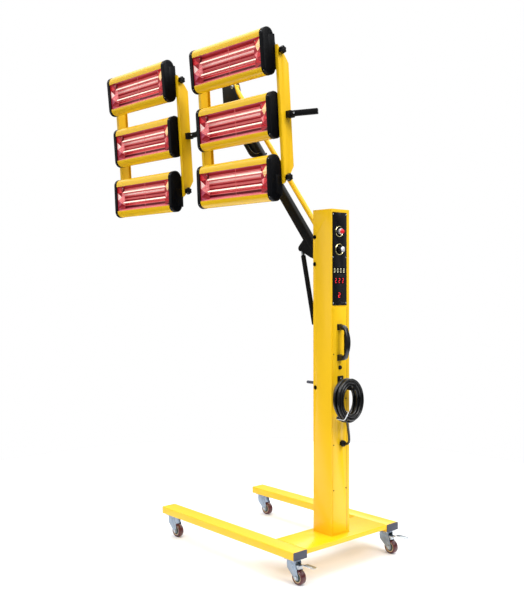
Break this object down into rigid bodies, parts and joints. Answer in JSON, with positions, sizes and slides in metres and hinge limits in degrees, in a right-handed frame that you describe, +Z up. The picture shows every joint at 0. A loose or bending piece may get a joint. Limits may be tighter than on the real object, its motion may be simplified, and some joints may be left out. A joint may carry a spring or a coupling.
{
  "type": "infrared paint curing lamp",
  "caption": "Wheeled infrared paint curing lamp: gas-spring parallelogram arm on a column, and a swivelling head with two banks of tilting short-wave lamp cassettes.",
  "frame": {"origin": "on the floor under the centre of the lamp's outline in plan, measured without the mains lead", "axes": "+Z up; the control panel faces +X and the legs point to -X; the lamps face -Y"},
  "size_m": [1.3174, 0.5604, 1.968],
  "materials": {
    "yellow_paint": "gloss powder coat",
    "black_paint": "satin powder coat",
    "zinc_steel": "bright zinc plated",
    "wheel_red": "glossy dark red polyurethane",
    "panel_black": "gloss film on a plate",
    "switch_metal": "satin chrome bezel",
    "board_green": "solder mask",
    "button_red": "moulded",
    "black_plastic": "fine grain",
    "cap_black": "fine grain, with a bright reflector and tubes between the caps",
    "cable_black": "satin sheath",
    "tie_white": "smooth",
    "bolt_black": "blackened",
    "peg_grey": "satin"
  },
  "bodies": {
    "stand": {"base_leg_left": "yellow_paint", "base_leg_right": "yellow_paint", "base_plate": "yellow_paint", "column_body": "yellow_paint", "rear_cover": "yellow_paint", "control_panel": "panel_black", "button_switch": "switch_metal", "knob_switch": "switch_metal", "control_board": "board_green", "bow_handle": "black_plastic", "cord_hook": "black_plastic", "cable_gland": "black_plastic", "cord_lead": "cable_black", "cord_coil": "cable_black", "cord_tie": "tie_white", "arm_pivot_bolt": "bolt_black", "link_pivot_bolt": "bolt_black", "spring_bolt_left": "bolt_black", "spring_bolt_right": "bolt_black", "stop_peg": "peg_grey"},
    "fork_front_left": {"castor_fork_front_left": "zinc_steel"},
    "wheel_front_left": {"castor_wheel_front_left": "wheel_red"},
    "fork_front_right": {"castor_fork_front_right": "zinc_steel"},
    "wheel_front_right": {"castor_wheel_front_right": "wheel_red"},
    "fork_rear_left": {"castor_fork_rear_left": "zinc_steel"},
    "wheel_rear_left": {"castor_wheel_rear_left": "wheel_red"},
    "pedal_left": {"brake_pedal_left": "zinc_steel"},
    "fork_rear_right": {"castor_fork_rear_right": "zinc_steel"},
    "wheel_rear_right": {"castor_wheel_rear_right": "wheel_red"},
    "pedal_right": {"brake_pedal_right": "zinc_steel"},
    "button": {"push_button": "button_red"},
    "selector": {"rotary_knob": "black_plastic"},
    "arm": {"arm_tube": "black_paint", "arm_shroud": "black_paint"},
    "link": {"link_rod": "yellow_paint"},
    "spring_cylinder": {"gas_cylinder": "black_paint"},
    "spring_rod": {"gas_rod": "zinc_steel"},
    "bracket": {"head_bracket": "black_paint"},
    "swivel": {"swivel_arm": "black_paint"},
    "head_frame": {"crossbar": "black_paint", "yoke_bar_near_left": "yellow_paint", "yoke_bar_near_right": "yellow_paint", "yoke_bar_far_left": "yellow_paint", "yoke_bar_far_right": "yellow_paint", "cassette_shell_near_middle": "yellow_paint", "lamp_unit_near_middle": "cap_black", "cassette_shell_far_middle": "yellow_paint", "lamp_unit_far_middle": "cap_black"},
    "cassette_near_top": {"cassette_shell_near_top": "yellow_paint", "lamp_unit_near_top": "cap_black"},
    "knob_near_top": {"star_knob_near_top": "black_plastic"},
    "cassette_near_bottom": {"cassette_shell_near_bottom": "yellow_paint", "lamp_unit_near_bottom": "cap_black"},
    "knob_near_bottom": {"star_knob_near_bottom": "black_plastic"},
    "cassette_far_top": {"cassette_shell_far_top": "yellow_paint", "lamp_unit_far_top": "cap_black"},
    "knob_far_top": {"star_knob_far_top": "black_plastic"},
    "cassette_far_bottom": {"cassette_shell_far_bottom": "yellow_paint", "lamp_unit_far_bottom": "cap_black"},
    "knob_far_bottom": {"star_knob_far_bottom": "black_plastic"}
  },
  "joints": [
    {"name": "castor_swivel_front_left", "type": "hinge", "parent": "stand", "child": "fork_front_left", "pos_m": [-0.16627, -0.2444, 0.08], "axis": [0, 0, 1], "continuous": true},
    {"name": "castor_wheel_spin_front_left", "type": "hinge", "parent": "fork_front_left", "child": "wheel_front_left", "pos_m": [-0.14127, -0.2444, 0.026], "axis": [0, 1, 0], "continuous": true},
    {"name": "castor_swivel_front_right", "type": "hinge", "parent": "stand", "child": "fork_front_right", "pos_m": [-0.16627, 0.2482, 0.08], "axis": [0, 0, 1], "continuous": true},
    {"name": "castor_wheel_spin_front_right", "type": "hinge", "parent": "fork_front_right", "child": "wheel_front_right", "pos_m": [-0.14127, 0.2482, 0.026], "axis": [0, 1, 0], "continuous": true},
    {"name": "castor_swivel_rear_left", "type": "hinge", "parent": "stand", "child": "fork_rear_left", "pos_m": [0.55273, -0.2444, 0.08], "axis": [0, 0, 1], "continuous": true},
    {"name": "castor_wheel_spin_rear_left", "type": "hinge", "parent": "fork_rear_left", "child": "wheel_rear_left", "pos_m": [0.57773, -0.2444, 0.026], "axis": [0, 1, 0], "continuous": true},
    {"name": "brake_pedal_press_left", "type": "hinge", "parent": "fork_rear_left", "child": "pedal_left", "pos_m": [0.56073, -0.2444, 0.0664], "axis": [0, 1, 0], "range_deg": [0, 5]},
    {"name": "castor_swivel_rear_right", "type": "hinge", "parent": "stand", "child": "fork_rear_right", "pos_m": [0.55273, 0.2482, 0.08], "axis": [0, 0, 1], "continuous": true},
    {"name": "castor_wheel_spin_rear_right", "type": "hinge", "parent": "fork_rear_right", "child": "wheel_rear_right", "pos_m": [0.57773, 0.2482, 0.026], "axis": [0, 1, 0], "continuous": true},
    {"name": "brake_pedal_press_right", "type": "hinge", "parent": "fork_rear_right", "child": "pedal_right", "pos_m": [0.56073, 0.2482, 0.0664], "axis": [0, 1, 0], "range_deg": [0, 5]},
    {"name": "button_press", "type": "slide", "parent": "stand", "child": "button", "axis": [-1, 0, 0], "range_m": [0, 0.004], "stiffness_N_per_m": 600},
    {"name": "selector_turn", "type": "hinge", "parent": "stand", "child": "selector", "pos_m": [0.54973, -0.0071, 1.165], "axis": [1, 0, 0], "range_deg": [-60, 60]},
    {"name": "arm_lift", "type": "hinge", "parent": "stand", "child": "arm", "pos_m": [0.45673, 0.0019, 1.112], "axis": [0, 1, 0], "range_deg": [-92, 13]},
    {"name": "link_lift", "type": "hinge", "parent": "stand", "child": "link", "pos_m": [0.45673, 0.0019, 1.212], "axis": [0, 1, 0], "range_deg": [-92, 13]},
    {"name": "bracket_level", "type": "hinge", "parent": "arm", "child": "bracket", "pos_m": [-0.05966, 0.0019, 1.76563], "axis": [0, 1, 0], "range_deg": [-13, 92]},
    {"name": "spring_swing", "type": "hinge", "parent": "arm", "child": "spring_cylinder", "pos_m": [0.34108, 0.0019, 1.17611], "axis": [0, 1, 0], "range_deg": [-13, 91]},
    {"name": "spring_stroke", "type": "slide", "parent": "spring_cylinder", "child": "spring_rod", "axis": [0.2218, 0, -0.9751], "range_m": [-0.192, 0.0275]},
    {"name": "head_swivel", "type": "hinge", "parent": "bracket", "child": "swivel", "pos_m": [-0.11927, 0.0019, 1.69], "axis": [0, 0, 1], "range_deg": [-184, 3]},
    {"name": "head_tilt", "type": "hinge", "parent": "swivel", "child": "head_frame", "pos_m": [-0.12118, -0.15252, 1.65929], "axis": [0.9994, 0.0346, 0], "range_deg": [-15, 15]},
    {"name": "cassette_tilt_near_top", "type": "hinge", "parent": "head_frame", "child": "cassette_near_top", "pos_m": [0.17754, -0.18253, 1.88599], "axis": [0.9994, 0.0346, 0], "range_deg": [-30, 30]},
    {"name": "star_knob_turn_near_top", "type": "hinge", "parent": "head_frame", "child": "knob_near_top", "pos_m": [0.41739, -0.17424, 1.88599], "axis": [0.9994, 0.0346, 0], "continuous": true},
    {"name": "cassette_tilt_near_bottom", "type": "hinge", "parent": "head_frame", "child": "cassette_near_bottom", "pos_m": [0.1764, -0.14981, 1.42916], "axis": [0.9994, 0.0346, 0], "range_deg": [-30, 30]},
    {"name": "star_knob_turn_near_bottom", "type": "hinge", "parent": "head_frame", "child": "knob_near_bottom", "pos_m": [0.41626, -0.14151, 1.42916], "axis": [0.9994, 0.0346, 0], "continuous": true},
    {"name": "cassette_tilt_far_top", "type": "hinge", "parent": "head_frame", "child": "cassette_far_top", "pos_m": [-0.41711, -0.20309, 1.88599], "axis": [0.9994, 0.0346, 0], "range_deg": [-30, 30]},
    {"name": "star_knob_turn_far_top", "type": "hinge", "parent": "head_frame", "child": "knob_far_top", "pos_m": [-0.17725, -0.1948, 1.88599], "axis": [0.9994, 0.0346, 0], "continuous": true},
    {"name": "cassette_tilt_far_bottom", "type": "hinge", "parent": "head_frame", "child": "cassette_far_bottom", "pos_m": [-0.41824, -0.17036, 1.42916], "axis": [0.9994, 0.0346, 0], "range_deg": [-30, 30]},
    {"name": "star_knob_turn_far_bottom", "type": "hinge", "parent": "head_frame", "child": "knob_far_bottom", "pos_m": [-0.17838, -0.16207, 1.42916], "axis": [0.9994, 0.0346, 0], "continuous": true}
  ],
  "couplings": [
    {"joint": "link_lift", "follows": "arm_lift", "ratio": 1},
    {"joint": "bracket_level", "follows": "arm_lift", "ratio": -1},
    {"joint": "spring_swing", "follows": "arm_lift", "ratio": -0.985},
    {"joint": "spring_stroke", "follows": "arm_lift", "m_per_rad": 0.1192}
  ]
}
